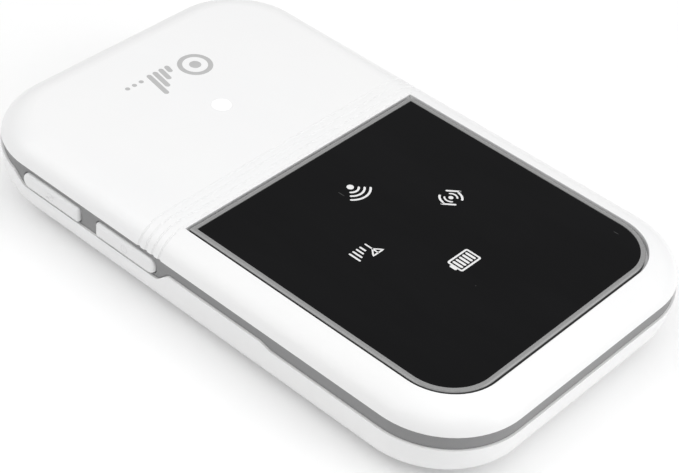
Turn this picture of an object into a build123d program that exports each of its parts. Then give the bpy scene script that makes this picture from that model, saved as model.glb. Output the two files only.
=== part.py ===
from build123d import *
import math
import os

# A pocket mobile hotspot: a palm-sized 4G router with a glossy two-part plastic case, a grey
# middle frame, a recessed black indicator window, two side keys and a removable battery.
# Millimetres. +Z is up through the window, +X runs to the window's end of the case, and the
# keys are on the -Y side. The origin is the middle of the footprint, on the table.

# ---- driving dimensions -------------------------------------------------------------------
LENGTH = 100.0
WIDTH = 60.0
HEIGHT = 14.5
CORNER_R = 13.6          # radius of the case's corners in plan
PARTING_Z = 11.15        # underside of the top cover
CROWN_ACROSS = 5.2       # the top cover's rounded edge, across and down
CROWN_DOWN = 4.4
SIDE_R = 35.0            # slow curve of the lower case's side
FOOT_R = 7.0             # tighter curve where the side turns under
WALL = 1.2               # thickness of both covers

BAND_INSET = 0.33        # the grey band lies this far inside the covers' surface
SEAM = 0.12              # open seam between the rear cover and the band
SKIRT_OUT = 1.35         # the frame's skirt runs just inside the rear cover
SKIRT_IN = 2.4
SKIRT_Z = 5.2            # lower edge of the skirt
LIP_OUT = 1.8            # lip of the frame that locates the top cover
LIP_IN = 2.6
LIP_Z = 11.55

# height of the rear cover's upper edge, from place to place round the case
EDGE_PLAIN = 9.25
EDGE_FRONT = 8.65        # deeper band beside the window and round its end
EDGE_SLIM = 9.8          # slimmest band beside the charging port
EDGE_BAY = 7.1           # deep bay round the keys and the charging port

WINDOW_X0 = -4.9
WINDOW_X1 = 43.78
WINDOW_HALF_Y = 23.7
WINDOW_R = 7.3
WINDOW_TOP = 14.4
WINDOW_T = 1.0
ADHESIVE_T = 0.1
POCKET_FLOOR = WINDOW_TOP - WINDOW_T - ADHESIVE_T
POCKET_UNDER = POCKET_FLOOR - 1.0
DIFFUSER_Z = POCKET_UNDER - 0.15
TRIM_W = 0.76
TRIM_GAP = 0.46          # open gap round the trim
POCKET_GROW = TRIM_W + TRIM_GAP
POCKET_EDGE = 0.08       # bevel round the pocket's upper edge

GROOVE_X = (-10.5, -9.1, -7.7, -6.3)
GROOVE_W = 0.7
GROOVE_D = 0.16

LENS_X, LENS_Y, LENS_R = -24.0, 0.3, 1.62

KEY_LENGTH, KEY_HEIGHT = 12.6, 2.6
KEY_Z = 8.85
WPS_KEY_X = -29.7
POWER_KEY_X = -13.4
KEY_FACE_Y = -30.1
KEY_INNER_R = 0.55       # corners at the end that faces the other key
KEY_RIM_R = 0.5          # rounding of the key's face
KEY_CLEARANCE = 0.18
KEY_WALL_Y = -28.6       # inner face of the frame's wall behind the key openings

DECK_Z0, DECK_Z1 = 7.4, 8.2
BOARD_Z0, BOARD_Z1 = 8.4, 9.4
BOARD_X0, BOARD_X1 = -46.9, 40.6
BOARD_HALF_Y = 26.9
BOARD_R = 10.0           # at the port's end; the other end is set further in
BOARD_R_FAR = 7.0

BATTERY_X0, BATTERY_X1 = -18.0, 36.0
BATTERY_HALF_Y = 22.0
BATTERY_Z0, BATTERY_Z1 = 1.6, 6.8

PORT_Z = 8.9
PORT_W, PORT_H, PORT_DEPTH = 7.5, 2.6, 5.6
PORT_MOUTH_X = -49.4

SCREWS = [(-37.5, -19.5), (-37.5, 19.5), (6.0, -24.6), (6.0, 24.6), (38.9, -20.5), (38.9, 20.5)]
SCREW_R, SCREW_HEAD_R = 0.8, 1.3
SCREW_TOP = 11.4

# clip tabs of the rear cover: place along the case, and which side
TABS = [(-28, 1), (0, 1), (28, 1), (4, -1), (28, -1)]

# middles of the four window indicators: wireless, data, signal and battery
ICONS = [(4.9, 0.1), (15.2, 9.5), (15.2, -9.4), (25.9, -0.1)]
WELL = 6.4               # side of the light well under each indicator

# worked out from the dimensions above
TILT = math.asin((PARTING_Z - FOOT_R) / (SIDE_R - FOOT_R))
FOOT_INSET = SIDE_R - (SIDE_R - FOOT_R) * math.cos(TILT)


# ---- shared shapes ------------------------------------------------------------------------
def box(x0, x1, y0, y1, z0, z1):
    """A box given by its two limits along each axis."""
    middle = Pos((x0 + x1) / 2, (y0 + y1) / 2, (z0 + z1) / 2)
    return middle * Box(x1 - x0, y1 - y0, z1 - z0)


def rounded_box(x0, x1, y0, y1, z0, z1, radius):
    """A box whose four upright edges are rounded."""
    outline = Pos((x0 + x1) / 2, (y0 + y1) / 2, z0) * RectangleRounded(x1 - x0, y1 - y0, radius)
    return extrude(outline, z1 - z0)


def post(x, y, z0, z1, radius):
    """An upright cylinder."""
    return Pos(x, y, (z0 + z1) / 2) * Cylinder(radius, z1 - z0)


def fuse(shapes):
    """One shape from a list of shapes."""
    whole = shapes[0]
    for shape in shapes[1:]:
        whole = whole + shape
    return whole


def case_slab(inset, z0, z1):
    """A slab with the case's outline in plan, drawn in by inset."""
    outline = RectangleRounded(LENGTH - 2 * inset, WIDTH - 2 * inset, CORNER_R - inset)
    return extrude(Pos(0, 0, z0) * outline, z1 - z0)


def stack(sections):
    """A smooth form through level outlines, each given as how far it is drawn in, the radius
    of its corners and its height."""
    outlines = []
    for draw_in, radius, z in sections:
        outline = RectangleRounded(LENGTH - 2 * draw_in, WIDTH - 2 * draw_in, radius)
        outlines.append(Pos(0, 0, z) * outline)
    return loft(outlines)


def turns(start, end, steps):
    """Equal steps of angle from start to end."""
    return [start + (end - start) * i / steps for i in range(steps + 1)]


def crown(inset):
    """The top cover's rounded form, above the parting line, drawn in by inset all over. Its
    edge is a quarter of an ellipse, cut at the parting line."""
    across, down = CROWN_ACROSS - inset, CROWN_DOWN - inset
    base = HEIGHT - CROWN_DOWN
    sections = []
    for turn in turns(math.asin((PARTING_Z - base) / down), math.pi / 2, 7):
        draw_in = CROWN_ACROSS - across * math.cos(turn)
        sections.append((draw_in, CORNER_R - draw_in, base + down * math.sin(turn)))
    return stack(sections)


def belly(inset):
    """The lower case's form below the parting line, drawn in by inset all over: a slow arc
    down the side, and a tighter one that turns under, with corners as round as the top's."""
    side_r, foot_r = SIDE_R - inset, FOOT_R - inset
    radius = CORNER_R - inset
    sections = []
    for turn in turns(0, TILT, 3):
        sections.append((SIDE_R - side_r * math.cos(turn), radius, PARTING_Z - side_r * math.sin(turn)))
    for turn in turns(TILT, math.pi / 2, 8)[1:]:
        sections.append((FOOT_INSET - foot_r * math.cos(turn), radius, FOOT_R - foot_r * math.sin(turn)))
    return stack(sections)


def above_line(points, radius):
    """The area above a smoothed line of (distance, height) points, up to above the seam."""
    line = FilletPolyline(*points, radius=radius)
    ceiling = PARTING_Z + 2
    closing = Polyline(points[-1], (points[-1][0], ceiling), (points[0][0], ceiling), points[0])
    return make_face(line.edges() + closing.edges())


def band_space():
    """Everything above the rear cover's upper edge, where the grey band shows."""
    reach_x = LENGTH / 2 + 2
    reach_y = WIDTH / 2 + 2
    end_x = LENGTH / 2 - CORNER_R
    side_y = WIDTH / 2 - 6
    key_side = [
        (-reach_x, EDGE_SLIM + 0.3), (-44, EDGE_SLIM), (-40.6, EDGE_PLAIN), (-38.2, EDGE_PLAIN - 0.3),
        (-36.1, EDGE_BAY), (-6.8, EDGE_BAY), (-4.5, EDGE_PLAIN), (14.2, EDGE_PLAIN),
        (16.2, EDGE_FRONT), (reach_x, EDGE_FRONT),
    ]
    window_end = [
        (-reach_y, EDGE_FRONT), (20, EDGE_FRONT), (24, EDGE_PLAIN), (reach_y, EDGE_PLAIN),
    ]
    port_end = [
        (-reach_y, EDGE_SLIM), (-16, EDGE_SLIM), (-9.6, EDGE_PLAIN), (-6.6, EDGE_BAY),
        (6.6, EDGE_BAY), (9.6, EDGE_PLAIN), (reach_y, EDGE_PLAIN),
    ]
    near = extrude(Plane.XZ.offset(side_y) * above_line(key_side, 1.1), reach_y - side_y)
    window = extrude(Plane.YZ.offset(end_x) * above_line(window_end, 1.1), reach_x - end_x)
    port = extrude(Plane.YZ.offset(-reach_x) * above_line(port_end, 1.1), reach_x - end_x)
    far = box(-reach_x, reach_x, side_y, reach_y, EDGE_PLAIN, PARTING_Z + 2)
    return near + window + port + far


def window_outline(grow, z):
    """The window's outline grown by grow: round at the far end, square behind."""
    x0, x1 = WINDOW_X0 - grow, WINDOW_X1 + grow
    outline = Pos((x0 + x1) / 2, 0, z) * Rectangle(x1 - x0, 2 * (WINDOW_HALF_Y + grow))
    far_corners = outline.vertices().sort_by(Axis.X)[-2:]
    return fillet(far_corners, WINDOW_R + grow)


def window_plate(grow, z0, z1):
    """A plate with the window's outline grown by grow."""
    return extrude(window_outline(grow, z0), z1 - z0)


def key_bar(x, grow, y0, y1):
    """A bar with a key's outline, grown by grow, through the key side's wall from y0 out to
    y1: half round at the end away from the other key, nearly square at the other."""
    length, height = KEY_LENGTH + 2 * grow, KEY_HEIGHT + 2 * grow
    towards_other = 1 if x == WPS_KEY_X else -1
    block = Pos(towards_other * length / 4) * Rectangle(length / 2, height)
    block = fillet(block.vertices().filter_by(lambda v: v.X * towards_other > 1), KEY_INNER_R + grow)
    outline = block + SlotOverall(length, height)
    return extrude(Plane.XZ.offset(-y0) * Pos(x, KEY_Z) * outline, y0 - y1)


# ---- case ---------------------------------------------------------------------------------
def make_grooves():
    """Four shallow grooves across the cover. The last is in line with the window's edge and
    shows only beyond the window's corners."""
    ring = crown(0) - crown(GROOVE_D)
    shallow = crown(0) - crown(GROOVE_D / 2)
    cuts = []
    for x in GROOVE_X:
        half, slim = GROOVE_W / 2, GROOVE_W / 4
        cut = (shallow & box(x - half, x + half, -WIDTH, WIDTH, 0, HEIGHT + 1))
        cut = cut + (ring & box(x - slim, x + slim, -WIDTH, WIDTH, 0, HEIGHT + 1))
        if x == GROOVE_X[-1]:
            cut = cut - window_plate(POCKET_GROW + 0.02, 0, HEIGHT + 1)
        cuts.append(cut)
    return cuts


def make_top_cover():
    """Upper shell with the window's pocket, light wells, the lens hole and screw bosses."""
    thick_floor = window_plate(POCKET_GROW + WALL, POCKET_UNDER, HEIGHT)
    hollow = crown(WALL) - thick_floor
    shell = crown(0) - hollow
    shell = shell - window_plate(POCKET_GROW, POCKET_FLOOR, HEIGHT + 1)
    rim = window_outline(POCKET_GROW, HEIGHT - POCKET_EDGE)
    shell = shell - extrude(rim, 2 * POCKET_EDGE, taper=-45)
    for x, y in ICONS:
        half = WELL / 2
        bottom, top = POCKET_UNDER - 1, POCKET_FLOOR + 0.1
        shell = shell - rounded_box(x - half, x + half, y - half, y + half, bottom, top, 0.8)
    shell = shell - post(LENS_X, LENS_Y, 12, HEIGHT + 1, LENS_R + 0.02)
    for x, y in SCREWS:
        boss_top = POCKET_UNDER + 0.3 if x > WINDOW_X0 else HEIGHT - WALL + 0.1
        boss = post(x, y, BOARD_Z1, boss_top, 1.9)
        shell = shell + (boss - post(x, y, BOARD_Z1 - 1, SCREW_TOP + 0.2, SCREW_R + 0.02))
    for cut in make_grooves():
        shell = shell - cut
    return shell


def make_mid_frame():
    """Grey frame: the visible band, the skirt inside the rear cover, the deck that carries the
    board and battery, and a lip inside the top cover."""
    band = (belly(BAND_INSET) & (Pos(0, 0, SEAM) * band_space())) - belly(SKIRT_IN)
    skirt = belly(SKIRT_OUT) - belly(SKIRT_IN)
    skirt = skirt & box(-LENGTH, LENGTH, -WIDTH, WIDTH, SKIRT_Z, PARTING_Z)
    lip = case_slab(LIP_OUT, PARTING_Z - 0.3, LIP_Z) - case_slab(LIP_IN, PARTING_Z - 1, LIP_Z + 1)
    deck = belly(SKIRT_IN - 0.2) & box(-LENGTH, LENGTH, -WIDTH, WIDTH, DECK_Z0, DECK_Z1)
    deck = deck - rounded_box(-39.6, -18.1, -8.2, 8.2, 7, 9, 1)
    rib = 0.8
    gap = 0.4
    bay = rounded_box(
        BATTERY_X0 - gap - rib, BATTERY_X1 + gap + rib,
        -BATTERY_HALF_Y - gap - rib, BATTERY_HALF_Y + gap + rib, 4.6, DECK_Z0 + 0.1, 3.0)
    bay = bay - rounded_box(
        BATTERY_X0 - gap, BATTERY_X1 + gap,
        -BATTERY_HALF_Y - gap, BATTERY_HALF_Y + gap, 4, DECK_Z0, 2.2)
    bay = bay - box(BATTERY_X0 - 4, BATTERY_X0 + 1, -8.2, 8.2, 4, 9)
    frame = band + skirt + lip + deck + bay
    for x, y in SCREWS:
        frame = frame + post(x, y, DECK_Z0, BOARD_Z0, 2.0)
        frame = frame - post(x, y, DECK_Z0 - 1, BOARD_Z0 + 1, SCREW_R + 0.2)
    for x in (WPS_KEY_X, POWER_KEY_X):
        frame = frame - key_bar(x, KEY_CLEARANCE, -26, -32)
        frame = frame - box(x - 7.8, x + 7.8, KEY_WALL_Y, -26, 6.5, PARTING_Z)
        frame = frame - box(x - 2.9, x + 2.9, -28, -23.7, 6.5, BOARD_Z0)
    port_half_w, port_half_h = PORT_W / 2 + 0.2, PORT_H / 2 + 0.2
    port = rounded_box(-port_half_w, port_half_w, -port_half_h, port_half_h, 0, 9, 0.7)
    frame = frame - (Pos(-52, 0, PORT_Z) * Rot(0, 90, 0) * Rot(0, 0, 90) * port)
    frame = frame - box(-47.8, -42.8, -4.4, 4.4, DECK_Z0 - 1, PORT_Z + 1.5)
    for x, side in TABS:
        y0, y1 = sorted((side * 27.75, side * 29.2))
        frame = frame - box(x - 2.3, x + 2.3, y0, y1, 4, 8.1)
    return frame


def make_rear_cover():
    """Lower shell that snaps off over the battery, with clip tabs and stiffening ribs."""
    shell = belly(0) - belly(WALL) - band_space()
    for x, side in TABS:
        y0, y1 = sorted((side * 27.95, side * 29.2))
        tab = box(x - 2, x + 2, y0, y1, 5.4, 7.8) & belly(0.6)
        shell = shell + tab
    for x in (-40.0, -31.0, -22.5):
        shell = shell + box(x - 0.4, x + 0.4, -20, 20, WALL - 0.1, WALL + 0.8)
    nail_notch = Pos(44.6, 24.6, EDGE_PLAIN + 0.25) * Sphere(2.3)
    return shell - (nail_notch & (belly(0) - belly(0.7)))


# ---- window -------------------------------------------------------------------------------
def make_window():
    """Clear panel, printed black from behind, with a softened upper edge."""
    panel = window_plate(-0.02, WINDOW_TOP - WINDOW_T, WINDOW_TOP)
    return chamfer(panel.edges().group_by(Axis.Z)[-1], 0.08)


def make_window_trim():
    """Grey ring round the window, with its outer upper edge bevelled."""
    outer = window_plate(TRIM_W, POCKET_FLOOR, WINDOW_TOP + 0.03)
    outer = chamfer(outer.edges().group_by(Axis.Z)[-1], 0.14)
    return outer - window_plate(0, POCKET_FLOOR - 1, HEIGHT)


def make_window_adhesive():
    """Thin double-sided tape frame under the window's rim."""
    frame = window_plate(-0.2, POCKET_FLOOR, POCKET_FLOOR + ADHESIVE_T)
    return frame - window_plate(-2.8, POCKET_FLOOR - 1, WINDOW_TOP)


def make_icon_baffle():
    """Black block with four square wells that keep each indicator's light to itself."""
    block = rounded_box(0.2, 30.4, -14.2, 14.2, BOARD_Z1, DIFFUSER_Z, 1.0)
    for x, y in ICONS:
        half = WELL / 2 - 0.3
        block = block - rounded_box(x - half, x + half, y - half, y + half, 9, POCKET_UNDER, 0.6)
    return block


def make_icon_diffuser():
    """Milky film between the baffle and the pocket's floor."""
    return rounded_box(0.6, 30.0, -13.8, 13.8, DIFFUSER_Z, POCKET_UNDER, 0.8)


def make_icon_leds():
    """One small lamp on the board in each well."""
    lamps = [box(x - 0.8, x + 0.8, y - 0.4, y + 0.4, BOARD_Z1, BOARD_Z1 + 0.6) for x, y in ICONS]
    return Compound(lamps)


def make_status_lens():
    """White light pipe, flush with the cover, with a flange under the ceiling."""
    pipe = post(LENS_X, LENS_Y, 10.5, HEIGHT, LENS_R)
    return pipe + post(LENS_X, LENS_Y, 12.5, HEIGHT - WALL, LENS_R + 0.7)


def make_status_led():
    """The lamp under the light pipe."""
    return box(LENS_X - 0.9, LENS_X + 0.9, LENS_Y - 0.7, LENS_Y + 0.7, BOARD_Z1, BOARD_Z1 + 0.7)


# ---- keys ---------------------------------------------------------------------------------
def make_key(x):
    """Key cap: proud face with a rounded rim, a flange that stops it from
    coming out, and a short finger that bears on the switch."""
    cap = key_bar(x, 0, KEY_WALL_Y, KEY_FACE_Y)
    cap = fillet(cap.edges().group_by(Axis.Y)[0], KEY_RIM_R)
    flange = key_bar(x, 0.35, KEY_WALL_Y + 0.65, KEY_WALL_Y + 0.05)
    neck = key_bar(x, 0, KEY_WALL_Y + 0.1, KEY_WALL_Y)
    finger = box(x - 0.9, x + 0.9, KEY_WALL_Y + 0.6, -27.5, KEY_Z - 0.6, KEY_Z + 0.6)
    return cap + neck + flange + finger


def make_switch(x):
    """Side-push switch housing, set into a notch in the board's edge."""
    body = box(x - 2.2, x + 2.2, -26.6, -24.1, 7.6, 9.5)
    slot = box(x - 0.75, x + 0.75, -27, -25.5, KEY_Z - 0.5, KEY_Z + 0.5)
    ears = box(x - 2.4, x + 2.4, -24.3, -23.9, BOARD_Z1, BOARD_Z1 + 0.1)
    return body - slot + ears


def make_plunger(x):
    """The switch's plunger, which the key pushes in."""
    return box(x - 0.7, x + 0.7, -27.5, -26.1, KEY_Z - 0.45, KEY_Z + 0.45)


# ---- board and what is on it --------------------------------------------------------------
def make_main_board():
    """Printed circuit board with notches for the switches and the charging port."""
    board = rounded_box(BOARD_X0, 10, -BOARD_HALF_Y, BOARD_HALF_Y, BOARD_Z0, BOARD_Z1, BOARD_R)
    board = board - box(-5, 20, -WIDTH, WIDTH, 8, 10)
    far = rounded_box(-15, BOARD_X1, -BOARD_HALF_Y, BOARD_HALF_Y, BOARD_Z0, BOARD_Z1, BOARD_R_FAR)
    board = board + (far - box(-20, -5, -WIDTH, WIDTH, 8, 10))
    for x in (WPS_KEY_X, POWER_KEY_X):
        board = board - box(x - 2.4, x + 2.4, -30, -24.0, 8, 10)
        board = board - box(x - 8.0, x + 8.0, -30, -26.8, 8, 10)
    notch_x, notch_y = PORT_MOUTH_X + PORT_DEPTH + 0.3, PORT_W / 2 + 0.2
    board = board - box(-50, notch_x, -notch_y, notch_y, 8, 10)
    for x, y in SCREWS:
        board = board - post(x, y, 8, 10, SCREW_R + 0.2)
    return board


def make_shield(x0, x1, y0, y1):
    """Pressed lid over one circuit block, open underneath, with rounded corners."""
    t = 0.2
    lid = rounded_box(x0, x1, y0, y1, BOARD_Z1, 11.2, 1.0)
    lid = lid - rounded_box(x0 + t, x1 - t, y0 + t, y1 - t, BOARD_Z1 - 1, 11.2 - t, 0.8)
    return lid


def chip(x, y, length, width, height=0.9):
    """A flat square chip package on top of the board."""
    return box(x - length / 2, x + length / 2, y - width / 2, y + width / 2, BOARD_Z1, BOARD_Z1 + height)


def make_small_components():
    """Rows of small resistors and capacitors beside the shields."""
    parts = []
    for i in range(6):
        parts.append(chip(-21.5 + 2.4 * i, 17.5, 1.0, 0.5, 0.5))
        parts.append(chip(-21.5 + 2.4 * i, -17.5, 1.6, 0.8, 0.8))
    for i in range(5):
        parts.append(chip(31.4, -11.5 + 4.4 * i, 0.5, 1.0, 0.5))
    parts.append(chip(24.0, -17.0, 2.5, 2.0, 1.0))
    return Compound(parts)


def make_port_shell():
    """Pressed-steel shell of the charging port, open to the end of the case."""
    x0, x1 = PORT_MOUTH_X, PORT_MOUTH_X + PORT_DEPTH
    t = 0.25

    def tube(grow):
        half_w, half_h = PORT_W / 2 - t + grow, PORT_H / 2 - t + grow
        slope = 1.1
        corners = [
            (-half_w, half_h), (half_w, half_h), (half_w, -half_h + slope),
            (half_w - slope, -half_h), (-half_w + slope, -half_h), (-half_w, -half_h + slope),
        ]
        return make_face(Polyline(*corners, close=True))

    plane = Plane.YZ.offset(x0)
    outside = extrude(plane * Pos(0, PORT_Z) * tube(t), x1 - x0)
    inside = extrude(plane * Pos(0, PORT_Z) * tube(0), x1 - x0 - t)
    return outside - inside


def make_port_tongue():
    """Black plastic tongue and back block inside the port."""
    x1 = PORT_MOUTH_X + PORT_DEPTH - 0.25
    tongue = box(PORT_MOUTH_X + 0.7, x1, -1.9, 1.9, PORT_Z + 0.1, PORT_Z + 0.65)
    block = box(x1 - 0.8, x1, -2.4, 2.4, PORT_Z - 0.9, PORT_Z + 0.9)
    return tongue + block


def make_port_contacts():
    """Five gold fingers under the tongue."""
    x1 = PORT_MOUTH_X + PORT_DEPTH - 1.05
    fingers = []
    for i in range(5):
        y = (i - 2) * 0.65
        fingers.append(box(PORT_MOUTH_X + 0.9, x1, y - 0.16, y + 0.16, PORT_Z, PORT_Z + 0.1))
    return Compound(fingers)


def make_sim_holder():
    """Pressed holder for the subscriber card, under the board, open towards the battery."""
    tray = box(-39.0, -23.0, -7.4, 7.4, 6.9, BOARD_Z0)
    slot = box(-38.4, -22.0, -6.3, 6.3, 7.1, 7.95)
    thumb = post(-23.0, 0, 6.5, 7.3, 3.6)
    return tray - slot - thumb


def make_sim_contacts():
    """Six sprung contact blades in the holder."""
    blades = []
    for x in (-35.5, -33.0, -30.5):
        for y in (-3.8, 3.8):
            blades.append(box(x - 0.9, x + 0.9, y - 1.4, y + 1.4, 7.85, 7.95))
    return Compound(blades)


def make_battery_connector():
    """Housing of the battery's sprung contacts, reaching down beside the battery."""
    housing = box(-21.6, -18.45, -5.2, 5.2, 3.4, BOARD_Z0)
    for y in (-3.0, 0.0, 3.0):
        housing = housing - box(-20.2, -18, y - 0.55, y + 0.55, 3.8, 6.2)
    return housing


def make_battery_springs():
    """Three bent spring blades that touch the battery's pads."""
    blades = []
    for y in (-3.0, 0.0, 3.0):
        upright = box(-20.2, -20.0, y - 0.5, y + 0.5, 3.9, 6.1)
        nose = box(-20.1, -18.15, y - 0.5, y + 0.5, 4.9, 5.1)
        blades.append(upright + nose)
    return Compound(blades)


def make_antenna_carrier():
    """Plastic block at the window's end that holds the main antenna."""
    return rounded_box(41.0, 46.6, -15.0, 15.0, DECK_Z1, 10.4, 0.8)


def make_main_antenna():
    """Folded copper strip on the carrier."""
    runs = [box(41.6, 46.0, -14.2, -13.2, 10.4, 10.5)]
    for i in range(5):
        y = -13.2 + 5.2 * i
        x0, x1 = (45.0, 46.0) if i % 2 == 0 else (41.6, 42.6)
        runs.append(box(x0, x1, y, y + 5.2, 10.4, 10.5))
        runs.append(box(41.6, 46.0, y + 4.2, y + 5.2, 10.4, 10.5))
    return fuse(runs)


def make_diversity_antenna():
    """Second antenna: a stamped strip standing on the board at the port's end."""
    arm = box(-44.5, -39.5, 9.0, 10.0, BOARD_Z1, 10.4)
    top = rounded_box(-44.5, -41.5, 8.5, 19.0, 10.4, 10.6, 0.6)
    return arm + top


def make_wifi_antenna():
    """Ceramic wireless antenna block on the board."""
    return chip(-26.0, 22.6, 9.0, 3.0, 1.2)


def make_antenna_clips():
    """Three sprung clips that join the antennas to the board."""
    clips = []
    for x, y in ((38.6, 10.0), (38.6, -10.0), (-34.0, 12.5)):
        foot = box(x - 1.2, x + 1.2, y - 0.7, y + 0.7, BOARD_Z1, BOARD_Z1 + 0.15)
        rise = box(x - 1.2, x - 1.0, y - 0.7, y + 0.7, BOARD_Z1, BOARD_Z1 + 0.9)
        nose = box(x - 1.2, x + 0.8, y - 0.7, y + 0.7, BOARD_Z1 + 0.75, BOARD_Z1 + 0.9)
        clips.append(foot + rise + nose)
    return Compound(clips)


def make_case_screws():
    """Six self-tapping screws, driven from the battery side into the top cover's bosses."""
    screws = []
    for x, y in SCREWS:
        head = post(x, y, 6.9, DECK_Z0, SCREW_HEAD_R)
        shank = post(x, y, DECK_Z0, SCREW_TOP, SCREW_R)
        slot = box(x - 0.8, x + 0.8, y - 0.15, y + 0.15, 6.8, 7.15)
        cross_slot = box(x - 0.15, x + 0.15, y - 0.8, y + 0.8, 6.8, 7.15)
        screws.append(head + shank - slot - cross_slot)
    return Compound(screws)


# ---- battery ------------------------------------------------------------------------------
def make_battery():
    """Flat removable battery with rounded edges and a recess for its contact pads."""
    cell = rounded_box(BATTERY_X0, BATTERY_X1, -BATTERY_HALF_Y, BATTERY_HALF_Y, BATTERY_Z0, BATTERY_Z1, 1.8)
    rims = cell.edges().group_by(Axis.Z)
    cell = fillet(rims[0] + rims[-1], 0.7)
    return cell - box(BATTERY_X0 - 1, BATTERY_X0 + 0.1, -4.2, 4.2, 3.9, 6.1)


def make_battery_pads():
    """Three flat contact pads in the battery's end."""
    pads = [box(BATTERY_X0, BATTERY_X0 + 0.1, y - 0.9, y + 0.9, 4.1, 5.9) for y in (-3.0, 0.0, 3.0)]
    return Compound(pads)


def make_battery_label():
    """Plain wrap label on the battery's outer face."""
    return rounded_box(BATTERY_X0 + 2, BATTERY_X1 - 2, -BATTERY_HALF_Y + 2, BATTERY_HALF_Y - 2,
                       BATTERY_Z0 - 0.08, BATTERY_Z0, 1.0)


def make_battery_foam():
    """Two foam strips on the deck that keep the battery from rattling."""
    return Compound([box(-8, 26, y - 2.5, y + 2.5, 7.0, DECK_Z0) for y in (-15.0, 15.0)])


def make_rating_label():
    """Plain label on the deck, under the battery."""
    return rounded_box(-6, 26, -9, 9, DECK_Z0 - 0.08, DECK_Z0, 0.8)


# ---- write every piece --------------------------------------------------------------------
PIECES = {
    "top_cover": make_top_cover(),
    "mid_frame": make_mid_frame(),
    "rear_cover": make_rear_cover(),
    "window": make_window(),
    "window_trim": make_window_trim(),
    "window_adhesive": make_window_adhesive(),
    "icon_baffle": make_icon_baffle(),
    "icon_diffuser": make_icon_diffuser(),
    "icon_leds": make_icon_leds(),
    "status_lens": make_status_lens(),
    "status_led": make_status_led(),
    "power_key": make_key(POWER_KEY_X),
    "power_switch": make_switch(POWER_KEY_X),
    "power_switch_plunger": make_plunger(POWER_KEY_X),
    "wps_key": make_key(WPS_KEY_X),
    "wps_switch": make_switch(WPS_KEY_X),
    "wps_switch_plunger": make_plunger(WPS_KEY_X),
    "main_board": make_main_board(),
    "modem_shield": make_shield(-20.5, -2.5, -13.0, 13.0),
    "modem_processor": chip(-12.5, -4.5, 11.0, 11.0),
    "memory_chip": chip(-11.5, 7.5, 10.0, 8.0),
    "radio_shield": make_shield(32.4, 37.0, -13.0, 13.0),
    "radio_amplifier": chip(34.7, -6.0, 3.4, 4.6),
    "radio_filter": chip(34.7, 4.0, 3.0, 3.0),
    "wifi_shield": make_shield(9.5, 26.0, 15.2, 22.4),
    "wifi_chip": chip(15.5, 18.8, 5.0, 5.0),
    "reference_crystal": chip(22.4, 18.8, 3.2, 2.5),
    "power_chip": chip(-30.0, -14.0, 6.0, 6.0),
    "power_inductor": chip(-24.5, -13.0, 3.0, 3.0, 1.2),
    "small_components": make_small_components(),
    "micro_usb_shell": make_port_shell(),
    "micro_usb_tongue": make_port_tongue(),
    "micro_usb_contacts": make_port_contacts(),
    "sim_holder": make_sim_holder(),
    "sim_contacts": make_sim_contacts(),
    "battery_connector": make_battery_connector(),
    "battery_springs": make_battery_springs(),
    "antenna_carrier": make_antenna_carrier(),
    "main_antenna": make_main_antenna(),
    "diversity_antenna": make_diversity_antenna(),
    "wifi_antenna": make_wifi_antenna(),
    "antenna_clips": make_antenna_clips(),
    "case_screws": make_case_screws(),
    "battery": make_battery(),
    "battery_pads": make_battery_pads(),
    "battery_label": make_battery_label(),
    "battery_foam": make_battery_foam(),
    "rating_label": make_rating_label(),
}

os.makedirs("parts", exist_ok=True)
for name, piece in PIECES.items():
    export_step(piece, f"parts/{name}.step")
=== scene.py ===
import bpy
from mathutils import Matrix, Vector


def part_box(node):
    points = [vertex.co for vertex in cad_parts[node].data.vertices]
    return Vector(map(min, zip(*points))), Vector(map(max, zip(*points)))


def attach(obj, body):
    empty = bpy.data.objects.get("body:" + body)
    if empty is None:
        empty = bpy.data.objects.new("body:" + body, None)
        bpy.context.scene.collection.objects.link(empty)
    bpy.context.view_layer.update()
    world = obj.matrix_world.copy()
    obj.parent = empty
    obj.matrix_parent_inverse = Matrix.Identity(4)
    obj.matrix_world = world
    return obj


bl_info = {
    "name": "Mobile Hotspot Finish",
    "version": (1, 0, 0),
    "blender": (4, 5, 0),
    "location": "3D View > Sidebar > Hotspot",
    "description": "Dresses a pocket mobile hotspot: moulded finishes, printed symbols, labels and studio",
    "category": "Object",
}

import math

import bpy
import numpy as np
from bpy.props import FloatProperty, FloatVectorProperty, IntProperty, PointerProperty
from bpy.types import Operator, Panel, PropertyGroup
from mathutils import Matrix, Vector

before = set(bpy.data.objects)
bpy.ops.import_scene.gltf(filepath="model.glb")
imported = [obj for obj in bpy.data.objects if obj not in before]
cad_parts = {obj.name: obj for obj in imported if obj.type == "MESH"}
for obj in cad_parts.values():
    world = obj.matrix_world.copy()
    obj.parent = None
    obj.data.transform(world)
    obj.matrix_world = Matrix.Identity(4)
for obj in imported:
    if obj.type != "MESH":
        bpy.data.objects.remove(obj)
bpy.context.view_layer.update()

MM = 0.001

window_low, window_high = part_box("window")
cover_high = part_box("top_cover")[1]
lens_low, lens_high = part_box("status_lens")
power_low, power_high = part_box("power_key")
wps_low, wps_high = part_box("wps_key")
battery_low, battery_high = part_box("battery_label")
rating_low, rating_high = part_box("rating_label")
rear_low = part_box("rear_cover")[0]
holder_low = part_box("sim_holder")[0]


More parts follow.
